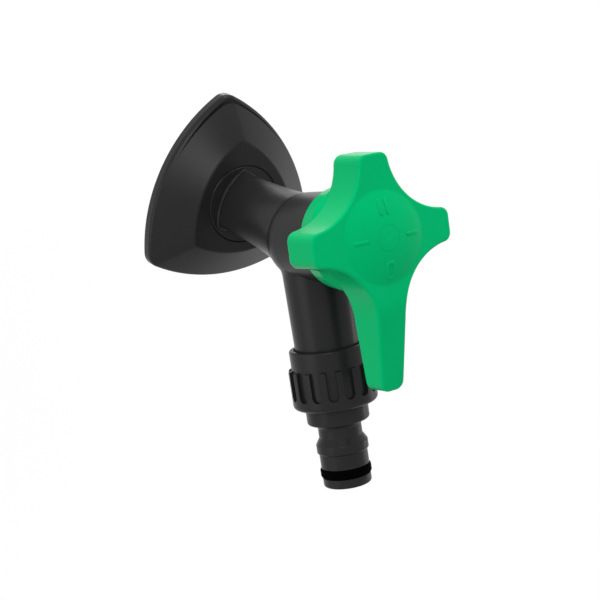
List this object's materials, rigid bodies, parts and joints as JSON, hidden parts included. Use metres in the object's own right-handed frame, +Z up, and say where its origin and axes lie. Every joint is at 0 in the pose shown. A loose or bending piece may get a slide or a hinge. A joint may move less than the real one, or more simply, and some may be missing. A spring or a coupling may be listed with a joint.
{
  "type": "bib tap",
  "caption": "Wall bib tap in black plastic with a three-cornered cover plate, a leaning spout with a hose spigot, and a green lever handle that turns a ceramic disc valve.",
  "frame": {"origin": "on the inlet axis, in the plane of the wall that the cover plate stands against", "axes": "+X to the user's right, +Y into the wall along the inlet thread, +Z up"},
  "size_m": [0.065, 0.1156, 0.1186],
  "materials": {
    "black_plastic": "satin moulded",
    "green_plastic": "smooth moulded",
    "brass": "machined",
    "rubber": "matt",
    "ceramic": "lapped",
    "steel": "bright",
    "white_plastic": "smooth"
  },
  "bodies": {
    "tap": {"wall_plate": "black_plastic", "tap_body": "black_plastic", "hose_connector": "black_plastic", "inlet_tail": "brass", "cartridge_housing": "brass", "inlet_seal": "rubber", "cartridge_o_ring": "rubber", "seat_seal": "rubber", "connector_washer": "rubber", "spigot_o_ring": "rubber", "fixed_disc": "ceramic"},
    "turning_handle": {"handle": "green_plastic", "screw_cap": "green_plastic", "handle_screw": "steel", "spindle": "brass", "spindle_o_ring_inner": "rubber", "spindle_o_ring_outer": "rubber", "slip_washer": "white_plastic", "spindle_circlip": "steel", "moving_disc": "ceramic"}
  },
  "joints": [
    {"name": "handle_turn", "type": "hinge", "parent": "tap", "child": "turning_handle", "pos_m": [0, -0.05565, 0], "axis": [0, -0.9622, 0.2723], "range_deg": [0, 180]}
  ]
}
